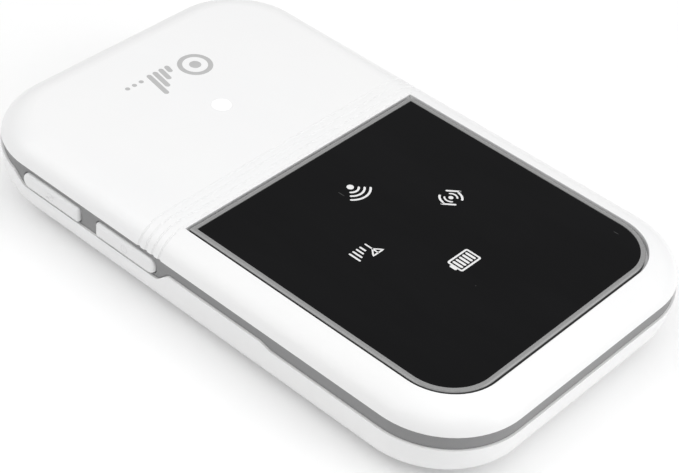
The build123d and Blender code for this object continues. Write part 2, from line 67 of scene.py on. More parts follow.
# ---- sizes and colours that a user would change -------------------------------------------
class HotspotFinish(PropertyGroup):
    """Colours of the mouldings and inks."""

    cover: FloatVectorProperty(
        name="Cover", description="White of both covers", subtype="COLOR", size=3, min=0, max=1,
        default=(0.90, 0.90, 0.90))
    key: FloatVectorProperty(
        name="Keys", description="White of the two side keys", subtype="COLOR", size=3, min=0, max=1,
        default=(0.86, 0.86, 0.86))
    band: FloatVectorProperty(
        name="Middle band", description="Grey of the middle frame", subtype="COLOR", size=3, min=0, max=1,
        default=(0.262, 0.262, 0.265))
    trim: FloatVectorProperty(
        name="Window trim", description="Grey of the ring round the window", subtype="COLOR", size=3, min=0,
        max=1, default=(0.30, 0.30, 0.30))
    window: FloatVectorProperty(
        name="Window", description="Black printed behind the window", subtype="COLOR", size=3, min=0, max=1,
        default=(0.0075, 0.0075, 0.008))
    symbol: FloatVectorProperty(
        name="Symbols", description="White of the four indicator symbols", subtype="COLOR", size=3, min=0,
        max=1, default=(0.82, 0.82, 0.82))
    mark: FloatVectorProperty(
        name="Cover mark", description="Grey ink of the mark on the cover", subtype="COLOR", size=3, min=0,
        max=1, default=(0.50, 0.50, 0.50))


class HotspotPrint(PropertyGroup):
    """Sizes of the printed symbols."""

    ink: FloatProperty(
        name="Ink height", description="How far printed ink stands above its surface", unit="LENGTH",
        default=0.02 * MM, min=0.005 * MM, max=0.1 * MM, precision=6)
    stroke: FloatProperty(
        name="Symbol stroke", description="Width of the indicator symbols' strokes", unit="LENGTH",
        default=0.36 * MM, min=0.1 * MM, max=1 * MM, precision=6)
    wave: FloatProperty(
        name="Outer wave", description="Radius of the outermost wave of the wireless symbol", unit="LENGTH",
        default=3.1 * MM, min=1 * MM, max=6 * MM, precision=6)
    ring: FloatProperty(
        name="Mark ring", description="Radius of the ring in the cover's mark", unit="LENGTH",
        default=2.5 * MM, min=1 * MM, max=5 * MM, precision=6)
    bars: IntProperty(
        name="Charge bars", description="Bars inside the battery symbol", default=5, min=1, max=6)


class HotspotStudio(PropertyGroup):
    """The floor and the lights."""

    floor: FloatVectorProperty(
        name="Floor", description="Colour of the pale floor", subtype="COLOR", size=3, min=0, max=1,
        default=(0.92, 0.92, 0.92))
    overhead: FloatProperty(
        name="Overhead", description="Power of the large soft light above", unit="POWER", default=3.4,
        min=0, max=100)
    window_side: FloatProperty(
        name="Window side", description="Power of the soft light beyond the window's end", unit="POWER",
        default=1.5, min=0, max=50)
    key_side: FloatProperty(
        name="Key side", description="Power of the soft light on the keys' side", unit="POWER", default=1.1,
        min=0, max=50)
    sky: FloatProperty(
        name="Sky", description="Strength of the even light from all round", default=0.3, min=0, max=5)


# ---- shader maths -------------------------------------------------------------------------
class Value:
    """A node socket that takes part in ordinary maths; each operation adds its Math node."""

    def __init__(self, graph, socket):
        self.graph = graph
        self.socket = socket

    def _math(self, operation, first, second, clamp=False):
        return self.graph.node(
            "ShaderNodeMath", {"operation": operation, "use_clamp": clamp}, {0: first, 1: second})

    def __add__(self, other):
        return self._math("ADD", self, other)

    def __sub__(self, other):
        return self._math("SUBTRACT", self, other)

    def __rsub__(self, other):
        return self._math("SUBTRACT", other, self)

    def __mul__(self, other):
        return self._math("MULTIPLY", self, other)

    def __gt__(self, other):
        return self._math("GREATER_THAN", self, other)

    def __lt__(self, other):
        return self._math("LESS_THAN", self, other)

    def __abs__(self):
        return self._math("ABSOLUTE", self, 0)

    def over(self, other):
        """The larger of two values."""
        return self._math("MAXIMUM", self, other)

    def across(self, low, high):
        """Runs from 0 to 1 as the value goes from low to high, and stays there."""
        return self._math("MULTIPLY", self - low, 1 / (high - low), clamp=True)

    __radd__ = __add__
    __rmul__ = __mul__


class Graph:
    """The node tree of one material, with its surface shader ready to be fed."""

    def __init__(self, name, **constants):
        self.material = bpy.data.materials.new(name)
        self.material.use_nodes = True
        self.tree = self.material.node_tree
        self.tree.nodes.clear()
        self.surface = self.tree.nodes.new("ShaderNodeBsdfPrincipled")
        output = self.tree.nodes.new("ShaderNodeOutputMaterial")
        self.tree.links.new(self.surface.outputs["BSDF"], output.inputs["Surface"])
        for socket, value in constants.items():
            self.surface.inputs[socket.replace("_", " ")].default_value = value
        self.place = self.node("ShaderNodeTexCoord", output="Object")

    def node(self, kind, settings=None, inputs=None, output=0):
        """Adds a node of this kind: its settings first, then its sockets' values or links."""
        made = self.tree.nodes.new(kind)
        for name, value in (settings or {}).items():
            if name == "stops":
                self._stops(made.color_ramp, value)
            else:
                setattr(made, name, value)
        for name, value in (inputs or {}).items():
            if isinstance(value, Value):
                self.tree.links.new(value.socket, made.inputs[name])
            else:
                made.inputs[name].default_value = value
        return Value(self, made.outputs[output])

    def _stops(self, ramp, stops):
        while len(ramp.elements) < len(stops):
            ramp.elements.new(0.5)
        for element, (position, tone) in zip(ramp.elements, stops):
            element.position = position
            element.color = (tone, tone, tone, 1)

    def axes(self):
        """The piece's own coordinates, one value each."""
        place = {"Vector": self.place}
        return [self.node("ShaderNodeSeparateXYZ", inputs=place, output=axis) for axis in range(3)]

    def tone(self, colour):
        """The first channel of a random colour, as a value."""
        return self.node("ShaderNodeSeparateColor", inputs={"Color": colour})

    def feed(self, socket, value):
        """Links a value to the surface shader's socket."""
        self.tree.links.new(value.socket, self.surface.inputs[socket])

    def noise(self, scale, detail=3.0, roughness=0.5, stretch=None):
        """Fractal noise on the piece's own coordinates, from 0 to 1."""
        where = self.place
        if stretch:
            where = self.node("ShaderNodeMapping", inputs={"Vector": where, "Scale": stretch})
        return self.node(
            "ShaderNodeTexNoise", inputs={
                "Vector": where, "Scale": scale, "Detail": detail, "Roughness": roughness})

    def cells(self, scale, output="Distance"):
        """Distance to the nearest of many scattered points, or that point's own random colour."""
        return self.node("ShaderNodeTexVoronoi", None, {"Vector": self.place, "Scale": scale}, output)

    def ramp(self, value, stops):
        """Maps a value through grey stops."""
        return self.node("ShaderNodeValToRGB", {"stops": stops}, {"Fac": value})

    def blend(self, factor, first, second):
        """A colour part of the way from first to second."""
        def as_colour(c):
            return c if isinstance(c, Value) else (*c, 1)
        return self.node(
            "ShaderNodeMix", {"data_type": "RGBA"}, {
                "Factor": factor, 6: as_colour(first), 7: as_colour(second)}, output=2)

    def bump(self, height, depth, strength=1.0):
        """A normal that follows a relief of this depth in metres."""
        return self.node("ShaderNodeBump", inputs={
            "Height": height, "Distance": depth, "Strength": strength})


def shade(colour, factor):
    """A colour made lighter or darker by a factor."""
    return tuple(min(1.0, c * factor) for c in colour)


def tint(colour, red, green, blue):
    """A colour with each channel scaled."""
    return (min(1.0, colour[0] * red), min(1.0, colour[1] * green), min(1.0, colour[2] * blue))


# ---- finishes -----------------------------------------------------------------------------
def moulded_gloss(name, colour, roughness, peel):
    """Polished white moulding: faint flow marks, a slight orange peel and rubbed spots."""
    g = Graph(name, IOR=1.46, Specular_IOR_Level=0.42, Coat_Roughness=0.12)
    flow = g.noise(38, 2, 0.4, (1, 2.2, 1))
    cool = tint(colour, 0.985, 0.988, 0.995)
    warm = tint(colour, 1.012, 1.010, 1.005)
    g.feed("Base Color", g.blend(flow, cool, warm))
    rubbed = g.ramp(g.noise(120, 5, 0.6), [(0.35, 0.0), (0.75, 1.0)])
    g.feed("Roughness", rubbed * 0.07 + (roughness - 0.03))
    g.feed("Coat Weight", rubbed * -0.08 + 0.14)
    waves = g.noise(700, 2, 0.45)
    grain = g.noise(9000, 2, 0.6)
    g.feed("Normal", g.bump(waves + grain * 0.12, peel))
    return g.material


def eroded_satin(name, colour, roughness, depth):
    """Satin moulding with a fine spark-eroded grain and slightly shiny high spots."""
    g = Graph(name, IOR=1.46, Specular_IOR_Level=0.35)
    grain = g.noise(5200, 4, 0.65)
    cloud = g.noise(90, 3, 0.5)
    g.feed("Base Color", g.blend(cloud * 0.6 + grain * 0.4, shade(colour, 0.93), shade(colour, 1.07)))
    g.feed("Roughness", grain * -0.16 + cloud * 0.06 + roughness)
    g.feed("Normal", g.bump(grain, depth))
    return g.material


def ring_paint(name, colour):
    """Metallic grey lacquer with tiny flakes, a painted reflection that lightens the outer part of the
    ring, and painted shade that blackens its sides.
    """
    g = Graph(name, IOR=1.5, Specular_IOR_Level=0.4, Coat_Roughness=0.2)
    flake = g.tone(g.cells(7000, output="Color"))
    lacquer_and_painted_reflection = g.blend(flake, shade(colour, 0.9), shade(colour, 1.12))
    x, y, z = g.axes()
    middle, half = (window_low.x + window_high.x) / 2, (window_high.x - window_low.x) / 2
    # Painted reflection and shade: beyond 0.45 to 0.62 mm out from the window's edge the ring is made
    # lighter, like a reflection of the white pocket wall, so its inner part stays darker, like a reflection
    # of the black window.
    beyond = (abs(x - middle) - half).over(abs(y) - window_high.y)
    lacquer_and_painted_reflection = g.blend(beyond.across(0.45 * MM, 0.62 * MM), lacquer_and_painted_reflection, shade(colour, 1.25))
    # Painted shade: from 0.1 to 0.3 mm below its top, the ring's sides turn near black, standing in for the
    # shade in the narrow gap round the ring.
    painted_gap_shade = z.across(window_high.z - 0.1 * MM, window_high.z - 0.3 * MM)
    g.feed("Base Color", g.blend(painted_gap_shade, lacquer_and_painted_reflection, (0.012, 0.012, 0.012)))
    g.feed("Metallic", flake * 0.15 + 0.1)
    g.feed("Roughness", g.noise(300, 3) * 0.1 + 0.42)
    g.feed("Coat Weight", g.noise(150, 2) * 0.1 + 0.08)
    g.feed("Normal", g.bump(g.noise(2600, 2), 0.000002))
    return g.material


def window_black(name, colour):
    """Black-backed clear panel with stray dust, a few short lint hairs and faint wipe marks."""
    g = Graph(name, IOR=1.49, Specular_IOR_Level=0.08, Coat_Weight=0.0)
    point = g.cells(260)
    chosen = g.tone(g.cells(260, output="Color"))
    speck = (point < 0.045) * (chosen > 0.93)
    hair_place = g.node("ShaderNodeMapping", inputs={
        "Vector": g.place, "Rotation": (0, 0, 1.15), "Scale": (1, 9, 1)})
    hair_inputs = {"Vector": hair_place, "Scale": 105}
    hair_cell = g.node("ShaderNodeTexVoronoi", inputs=hair_inputs, output="Distance")
    hair_pick = g.node("ShaderNodeTexVoronoi", inputs=hair_inputs, output="Color")
    hair = (hair_cell < 0.07) * (g.tone(hair_pick) > 0.965)
    wipe = g.ramp(g.noise(42, 4, 0.55, (1, 3.2, 1)), [(0.45, 0.0), (0.7, 1.0)])
    dust = speck.over(hair)
    clean = g.blend(wipe, colour, shade(colour, 1.12))
    g.feed("Base Color", g.blend(dust * 0.5, clean, (0.12, 0.12, 0.12)))
    g.feed("Roughness", wipe * 0.03 + dust * 0.5 + 0.06)
    g.feed("Normal", g.bump(dust, 0.00001, 0.6))
    return g.material


def printed_ink(name, colour, grain=0.04):
    """Screen-printed ink: slightly uneven cover and the mesh's faint texture."""
    g = Graph(name, IOR=1.5, Specular_IOR_Level=0.3)
    mesh = g.noise(6500, 2, 0.5)
    cover = g.noise(900, 4, 0.6)
    g.feed("Base Color", g.blend(cover, shade(colour, 1 - grain), shade(colour, 1 + grain)))
    g.feed("Roughness", mesh * 0.2 + 0.4)
    g.feed("Normal", g.bump(mesh, 0.000003))
    return g.material


def milky_lens_painted_glow(name):
    """Milky diffusing plastic with a faint painted glow, brighter at its middle."""
    # The faint emission is a painted glow: the lens is no lamp.
    g = Graph(name, IOR=1.5, Specular_IOR_Level=0.4, Emission_Strength=0.05)
    centre = (lens_low + lens_high) / 2
    spread = 300
    offset = g.node("ShaderNodeMapping", inputs={
        "Vector": g.place, "Location": (-centre.x * spread, -centre.y * spread, 0),
        "Scale": (spread, spread, 0)})
    # Painted glow: the colour gets lighter towards the lens's middle.
    painted_glow = g.node("ShaderNodeTexGradient", {"gradient_type": "SPHERICAL"}, {"Vector": offset})
    cloud = g.noise(1500, 3)
    g.feed("Base Color", g.blend(painted_glow * 0.7 + cloud * 0.3, (0.96, 0.96, 0.96), (1.0, 1.0, 1.0)))
    g.feed("Roughness", cloud * 0.12 + 0.3)
    g.feed("Normal", g.bump(cloud, 0.000002))
    return g.material


def solder_mask(name):
    """Green board: darker bare laminate, paler buried tracks on a square grid and dark via dots."""
    g = Graph(name, IOR=1.5, Specular_IOR_Level=0.45)
    tracks = g.node("ShaderNodeTexBrick", {"offset": 0.37, "squash": 1.0}, {
        "Vector": g.place, "Color1": (0, 0, 0, 1), "Color2": (0.35, 0.35, 0.35, 1), "Mortar": (1, 1, 1, 1),
        "Scale": 170, "Mortar Size": 0.03, "Brick Width": 0.9, "Row Height": 0.32}, output="Color")
    via = g.cells(420) < 0.12
    base = g.blend(tracks, (0.012, 0.10, 0.035), (0.03, 0.20, 0.075))
    g.feed("Base Color", g.blend(via * 0.8, base, (0.42, 0.36, 0.16)))
    g.feed("Roughness", g.noise(600, 3) * 0.15 + 0.28)
    g.feed("Metallic", via * 0.8)
    g.feed("Normal", g.bump(tracks, 0.00001, 0.5))
    return g.material


def rolled_tin(name, colour=(0.60, 0.60, 0.585)):
    """Tinned sheet: long rolling marks, soft cloudy stains and a little handling wear."""
    g = Graph(name)
    rolling = g.noise(900, 3, 0.6, (0.08, 1, 1))
    stain = g.noise(260, 4, 0.6)
    g.feed("Base Color", g.blend(stain, shade(colour, 0.85), shade(colour, 1.12)))
    g.feed("Metallic", stain * 0.1 + 0.88)
    g.feed("Roughness", rolling * 0.2 + stain * 0.1 + 0.22)
    g.feed("Normal", g.bump(rolling, 0.000006))
    return g.material


def plated(name, colour, roughness=0.24):
    """Plated or bare metal contact with fine scrubbing marks and slightly dulled patches."""
    g = Graph(name)
    scrub = g.noise(2400, 3, 0.6, (1, 0.15, 1))
    dull = g.noise(500, 4)
    g.feed("Base Color", g.blend(dull, shade(colour, 0.82), shade(colour, 1.1)))
    g.feed("Metallic", dull * 0.08 + 0.92)
    g.feed("Roughness", scrub * 0.2 + dull * 0.1 + roughness)
    g.feed("Normal", g.bump(scrub, 0.000004))
    return g.material


def chip_epoxy(name):
    """Black moulded epoxy with glassy filler grains and a matt laser-cleaned haze."""
    g = Graph(name, IOR=1.5, Specular_IOR_Level=0.35)
    filler = g.cells(5200)
    haze = g.noise(220, 3)
    g.feed("Base Color", g.blend(filler * 0.5 + haze * 0.4, (0.010, 0.010, 0.011), (0.045, 0.045, 0.047)))
    g.feed("Roughness", haze * 0.15 + 0.48)
    g.feed("Normal", g.bump(filler, 0.000008))
    return g.material


def pack_wrap(name):
    """Dark shrink wrap on the battery: lengthwise drawing lines and soft wrinkles."""
    g = Graph(name, IOR=1.48, Specular_IOR_Level=0.4)
    drawn = g.noise(700, 3, 0.6, (0.05, 1, 1))
    wrinkle = g.noise(150, 4, 0.55)
    g.feed("Base Color", g.blend(drawn * 0.5 + wrinkle * 0.5, (0.030, 0.031, 0.034), (0.065, 0.067, 0.072)))
    g.feed("Roughness", drawn * 0.15 + 0.32)
    g.feed("Normal", g.bump(wrinkle + drawn * 0.2, 0.00002))
    return g.material


def coated_label(name, colour=(0.72, 0.72, 0.70)):
    """Coated paper label: fine fibres under a satin varnish."""
    g = Graph(name, IOR=1.48, Specular_IOR_Level=0.3)
    fibre = g.noise(3200, 5, 0.7, (1, 0.35, 1))
    tone = g.noise(60, 3)
    g.feed("Base Color", g.blend(fibre * 0.5 + tone * 0.5, shade(colour, 0.95), shade(colour, 1.05)))
    g.feed("Roughness", fibre * 0.15 + 0.42)
    g.feed("Normal", g.bump(fibre, 0.000004))
    return g.material


def closed_foam(name):
    """Black closed-cell foam: open cut bubbles over a matt body."""
    g = Graph(name, IOR=1.4, Specular_IOR_Level=0.15)
    bubble = g.cells(3200)
    g.feed("Base Color", g.blend(bubble, (0.010, 0.010, 0.010), (0.06, 0.06, 0.06)))
    g.feed("Roughness", bubble * 0.1 + 0.85)
    g.feed("Normal", g.bump(bubble, 0.00006))
    return g.material


def fired_ceramic(name, colour=(0.50, 0.38, 0.24)):
    """Fired ceramic or ferrite with tiny pits and a mottled colour."""
    g = Graph(name, IOR=1.6, Specular_IOR_Level=0.4)
    mottle = g.noise(1200, 4, 0.6)
    pit = g.cells(6000)
    g.feed("Base Color", g.blend(mottle, shade(colour, 0.75), shade(colour, 1.2)))
    g.feed("Roughness", mottle * 0.2 + 0.35)
    g.feed("Normal", g.bump(pit, 0.000006))
    return g.material


def milky_film(name):
    """Milky diffusing film or tape."""
    g = Graph(name, IOR=1.5, Specular_IOR_Level=0.3)
    cloud = g.noise(400, 3)
    g.feed("Base Color", g.blend(cloud, (0.66, 0.66, 0.64), (0.80, 0.80, 0.78)))
    g.feed("Roughness", cloud * 0.2 + 0.45)
    g.feed("Normal", g.bump(g.noise(3000, 2), 0.000003))
    return g.material


# ---- meshes worked out as whole arrays ----------------------------------------------------
def put_mesh(name, points, faces, material, body):
    """Makes an object at the origin from points and faces, turned outwards by the sign of
    its volume, shades it smooth with crisp edges, and lets it ride on a body."""
    tris = np.concatenate([np.stack([f[:, 0], f[:, i], f[:, i + 1]], 1) for f in faces
                           for i in range(1, f.shape[1] - 1)])
    a, b, c = (points[tris[:, i]] for i in range(3))
    if np.einsum("ij,ij->i", a, np.cross(b, c)).sum() < 0:
        faces = [f[:, ::-1] for f in faces]
    mesh = bpy.data.meshes.new(name)
    mesh.from_pydata(points.tolist(), [], [row for f in faces for row in f.tolist()])
    mesh.polygons.foreach_set("use_smooth", np.ones(len(mesh.polygons), bool))
    mesh.set_sharp_from_angle(angle=math.radians(40))
    mesh.materials.append(material)
    mesh.update()
    piece = bpy.data.objects.new(name, mesh)
    bpy.context.scene.collection.objects.link(piece)
    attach(piece, body)


def tube_faces(count, around, looped):
    """Faces of rings joined one to the next: a loop, or a run whose ends close on a point."""
    ring = np.arange(count - (0 if looped else 1))[:, None]
    spot = np.arange(around)[None, :]
    after = (ring + 1) % count
    beside = (spot + 1) % around
    quads = np.stack([ring * around + spot, after * around + spot,
                      after * around + beside, ring * around + beside], -1).reshape(-1, 4)
    if looped:
        return [quads]
    start = count * around
    first = np.arange(around)
    low = np.stack([np.full(around, start), first, (first + 1) % around], 1)
    last = (count - 1) * around
    high = np.stack([np.full(around, start + 1), last + (first + 1) % around, last + first], 1)
    return [quads, np.concatenate([low, high])]


# section of a printed stroke, across and up: a flat film with rounded shoulders
STROKE_SECTION = np.array([(-1, 0), (-0.97, 0.6), (-0.86, 1), (0.86, 1), (0.97, 0.6), (1, 0)], float)


class Sheet:
    """A flat place to print on: its origin, the direction that text would run, the direction
    that is up for a reader, and the way out of the surface. Lengths on it are in millimetres."""

    def __init__(self, origin, run, up):
        self.origin = np.array(origin, float)
        self.run = np.array(run, float)
        self.up = np.array(up, float)
        self.out = np.cross(self.run, self.up)

    def place(self, flat, height):
        """Points in the shared frame from flat (n, 2) positions and heights above the sheet."""
        return (self.origin + flat[..., :1] * MM * self.run + flat[..., 1:] * MM * self.up
                + height[..., None] * self.out)


class Print:
    """Collects strokes and dots on a sheet and joins them into one piece."""

    def __init__(self, sheet, height):
        self.sheet = sheet
        self.height = height
        self.points = []
        self.faces = []
        self.total = 0

    def _add(self, rings, looped):
        count, around = rings.shape[:2]
        faces = tube_faces(count, around, looped)
        points = rings.reshape(-1, 3)
        if not looped:
            points = np.concatenate([points, rings[:1].mean(1), rings[-1:].mean(1)])
        self.points.append(points)
        self.faces.extend(f + self.total for f in faces)
        self.total += len(points)

    def stroke(self, path, width, looped=False):
        """A stroke of this width along a path of flat points. Its half width is constant and
        ends in half circles: half width = sqrt(r^2 - d^2), d the distance past the path's end."""
        path = np.asarray(path, float)
        half = width / 2
        if looped:
            ahead = np.roll(path, -1, 0) - np.roll(path, 1, 0)
            halves = np.full(len(path), half)
        else:
            turn = np.linspace(0, math.pi / 2, 6)[1:]
            start = path[0] - path[1]
            end = path[-1] - path[-2]
            start = start / np.linalg.norm(start)
            end = end / np.linalg.norm(end)
            reach = (half * np.sin(turn * 0.97))[:, None]
            path = np.concatenate([(path[0] + reach * start)[::-1], path, path[-1] + reach * end])
            cap = half * np.cos(turn * 0.97)
            halves = np.concatenate([cap[::-1], np.full(len(path) - 2 * len(cap), half), cap])
            ahead = np.gradient(path, axis=0)
        ahead = ahead / np.linalg.norm(ahead, axis=1, keepdims=True)
        across = np.stack([ahead[:, 1], -ahead[:, 0]], 1)
        flat = path[:, None] + across[:, None] * (halves[:, None] * STROKE_SECTION[:, 0])[..., None]
        height = np.broadcast_to(STROKE_SECTION[:, 1] * self.height, flat.shape[:2])
        self._add(self.sheet.place(flat, height), looped)

    def dot(self, x, y, radius, count=28):
        """A round dot: a low drum with a rounded shoulder, its rings running out from the
        middle of its top and back to the middle of its foot."""
        turn = np.arange(count) / count * 2 * math.pi
        out = np.array([0.4, 0.9, 0.98, 1.0, 0.5]) * radius
        rise = np.array([1.0, 1.0, 0.7, 0.0, 0.0]) * self.height
        flat = np.stack([x + out[:, None] * np.cos(turn), y + out[:, None] * np.sin(turn)], -1)
        height = np.broadcast_to(rise[:, None], flat.shape[:2])
        self._add(self.sheet.place(flat, height), False)

    def make(self, name, material, body):
        put_mesh(name, np.concatenate(self.points), self.faces, material, body)


def arc(x, y, radius, start, end, count=24):
    """Points on a circle from one angle to another, in degrees: centre + radius (cos, sin)."""
    turn = np.radians(np.linspace(start, end, count))
    return np.stack([x + radius * np.cos(turn), y + radius * np.sin(turn)], 1)


def line(*points, count=6):
    """Points along straight runs, evenly spaced on each run."""
    corners = np.array(points, float)
    share = np.linspace(0, 1, count)[:, None]
    runs = [a + (b - a) * share for a, b in zip(corners[:-1], corners[1:])]
    return np.concatenate([runs[0]] + [r[1:] for r in runs[1:]])


def rounded_loop(x, y, width, height, radius, count=9):
    """A rounded rectangle about a middle: four quarter circles joined by straight runs."""
    corners = [(1, 1, 0), (-1, 1, 90), (-1, -1, 180), (1, -1, 270)]
    return np.concatenate([
        arc(x + sx * (width / 2 - radius), y + sy * (height / 2 - radius), radius, turn, turn + 90, count)
        for sx, sy, turn in corners])


def ellipse(x, y, across, tall, count=56):
    """A closed ellipse: centre + (across cos, tall sin)."""
    turn = np.arange(count) / count * 2 * math.pi
    return np.stack([x + across * np.cos(turn), y + tall * np.sin(turn)], 1)


def window_sheet(x, y):
    """Sheet on the window at a place, read from the keys' side with the far end up."""
    return Sheet((x * MM, y * MM, window_high.z), (0, -1, 0), (1, 0, 0))


# ---- operators: finishes ------------------------------------------------------------------
def dress(nodes, material):
    """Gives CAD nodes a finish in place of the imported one."""
    for node in nodes:
        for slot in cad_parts[node].material_slots:
            slot.material = material


class HOTSPOT_OT_case(Operator):
    """Finish the covers, keys, band, trim, window and light lens"""
    bl_idname = "hotspot.case"
    bl_label = "Finish the case"

    def execute(self, context):
        finish = context.scene.hotspot_finish
        dress(["top_cover", "rear_cover"], moulded_gloss("white_cover", finish.cover, 0.34, 0.000004))
        dress(["power_key", "wps_key"], moulded_gloss("white_key", finish.key, 0.36, 0.000003))
        dress(["mid_frame"], eroded_satin("grey_frame", finish.band, 0.5, 0.000012))
        dress(["window_trim"], ring_paint("trim_lacquer_painted_light", finish.trim))
        dress(["window"], window_black("window_panel", finish.window))
        dress(["status_lens"], milky_lens_painted_glow("milky_lens_painted_glow"))
        return {"FINISHED"}


class HOTSPOT_OT_inside(Operator):
    """Finish the board, shields, chips, contacts, antennas, battery and labels"""
    bl_idname = "hotspot.inside"
    bl_label = "Finish the inside"

    def execute(self, context):
        tin = rolled_tin("rolled_tin")
        epoxy = chip_epoxy("chip_epoxy")
        gold = plated("contact_gold", (0.78, 0.56, 0.22))
        copper = plated("antenna_copper", (0.70, 0.34, 0.20), 0.3)
        black = eroded_satin("black_moulding", (0.022, 0.022, 0.023), 0.5, 0.00001)
        ceramic = fired_ceramic("fired_ceramic")
        label = coated_label("coated_label")
        film = milky_film("milky_film")
        dress(["main_board"], solder_mask("solder_mask"))
        dress(["modem_shield", "radio_shield", "wifi_shield", "micro_usb_shell", "sim_holder",
               "reference_crystal", "power_switch", "wps_switch"], tin)
        dress(["modem_processor", "memory_chip", "radio_amplifier", "wifi_chip", "power_chip"], epoxy)
        dress(["sim_contacts", "battery_springs", "battery_pads", "micro_usb_contacts",
               "antenna_clips"], gold)
        dress(["main_antenna", "diversity_antenna"], copper)
        dress(["icon_baffle", "micro_usb_tongue", "battery_connector", "antenna_carrier",
               "power_switch_plunger", "wps_switch_plunger"], black)
        dress(["radio_filter", "power_inductor", "small_components", "wifi_antenna"], ceramic)
        dress(["battery_label", "rating_label"], label)
        dress(["icon_diffuser", "window_adhesive", "icon_leds", "status_led"], film)
        dress(["case_screws"], plated("screw_black", (0.10, 0.10, 0.105), 0.3))
        dress(["battery"], pack_wrap("pack_wrap"))
        dress(["battery_foam"], closed_foam("closed_foam"))
        return {"FINISHED"}


# ---- operators: printed and moulded symbols -----------------------------------------------
class HOTSPOT_OT_wireless_symbol(Operator):
    """Print the wireless symbol: a dot under three waves"""
    bl_idname = "hotspot.wireless_symbol"
    bl_label = "Wireless symbol"

    def execute(self, context):
        sizes = context.scene.hotspot_print
        ink = printed_ink("wireless_ink", context.scene.hotspot_finish.symbol)
        wave = sizes.wave / MM
        art = Print(window_sheet(3.44, 0.14), sizes.ink)
        art.dot(0, 0, 0.56)
        for share in (0.425, 0.71, 1.0):
            art.stroke(arc(0, 0, wave * share - 0.03, 45, 135), sizes.stroke / MM)
        art.make("wireless_symbol", ink, "case")
        return {"FINISHED"}


class HOTSPOT_OT_data_symbol(Operator):
    """Print the data symbol: a beacon between two turning arrows"""
    bl_idname = "hotspot.data_symbol"
    bl_label = "Data symbol"

    def execute(self, context):
        sizes = context.scene.hotspot_print
        ink = printed_ink("data_ink", context.scene.hotspot_finish.symbol)
        art = Print(window_sheet(15.3, 9.56), sizes.ink)
        art.dot(0, 0, 0.38)
        for painted_gap_shade in (1, -1):
            art.stroke(painted_gap_shade * arc(0, 0, 0.98, -50, 50), 0.29)
            art.stroke(painted_gap_shade * arc(0, 0, 1.72, -60, -6), 0.36)
            art.stroke(painted_gap_shade * line((0.82, 1.52), (2.16, 0.02)), 0.36)
            art.stroke(painted_gap_shade * line((1.75, 0.02), (2.16, 0.02)), 0.26)
        art.make("data_symbol", ink, "case")
        return {"FINISHED"}


class HOTSPOT_OT_signal_symbol(Operator):
    """Print the signal symbol: an aerial and four bars that grow"""
    bl_idname = "hotspot.signal_symbol"
    bl_label = "Signal symbol"

    def execute(self, context):
        sizes = context.scene.hotspot_print
        ink = printed_ink("signal_ink", context.scene.hotspot_finish.symbol)
        art = Print(window_sheet(13.8, -8.08), sizes.ink)
        thin = 0.26
        art.stroke(line((0, 0.05), (0, 2.5)), thin)
        art.stroke(line((0, 1.42), (-1.1, 2.58), (1.1, 2.58), (0, 1.42)), thin)
        for number, top in enumerate((1.02, 1.28, 1.66, 2.0)):
            across = 1.06 + 0.75 * number
            art.stroke(line((across, 0.05), (across, top - 0.05)), 0.33)
        art.make("signal_symbol", ink, "case")
        return {"FINISHED"}


class HOTSPOT_OT_charge_symbol(Operator):
    """Print the charge symbol: a battery outline with its bars"""
    bl_idname = "hotspot.charge_symbol"
    bl_label = "Charge symbol"

    def execute(self, context):
        sizes = context.scene.hotspot_print
        ink = printed_ink("charge_ink", context.scene.hotspot_finish.symbol)
        art = Print(window_sheet(25.88, -0.07), sizes.ink)
        art.stroke(rounded_loop(0, 0, 4.2, 2.6, 0.22), 0.32, looped=True)
        art.stroke(line((2.47, -0.42), (2.47, 0.42)), 0.44)
        spacing = 3.6 / sizes.bars
        for number in range(sizes.bars):
            across = (number - (sizes.bars - 1) / 2) * spacing
            art.stroke(line((across, -0.72), (across, 0.72)), 0.44)
        art.make("charge_symbol", ink, "case")
        return {"FINISHED"}


class HOTSPOT_OT_cover_mark(Operator):
    """Print the plain mark on the cover: a ring with a dot, slanted bars and three dots"""
    bl_idname = "hotspot.cover_mark"
    bl_label = "Cover mark"

    def execute(self, context):
        sizes = context.scene.hotspot_print
        ink = printed_ink("cover_mark_ink", context.scene.hotspot_finish.mark, 0.03)
        sheet = Sheet((-37.5 * MM, 0.4 * MM, cover_high.z - 0.6 * sizes.ink), (0, -1, 0), (1, 0, 0))
        art = Print(sheet, sizes.ink)
        radius = sizes.ring / MM
        middle = (-4.4, 2.95)
        art.stroke(ellipse(*middle, radius, radius), 0.85, looped=True)
        art.dot(*middle, 0.4 * radius)
        bar_spacing, bar_growth, lean = 1.28, 1.3, 0.17
        for number in range(4):
            foot = -0.45 + bar_spacing * number
            tall = 1.5 + bar_growth * number
            art.stroke(line((foot, 0.55), (foot + tall * lean, tall)), 0.92)
        dot_spacing = 1.45
        for number in range(3):
            art.dot(5.35 + dot_spacing * number, 0.75, 0.42)
        art.make("cover_mark", ink, "case")
        return {"FINISHED"}


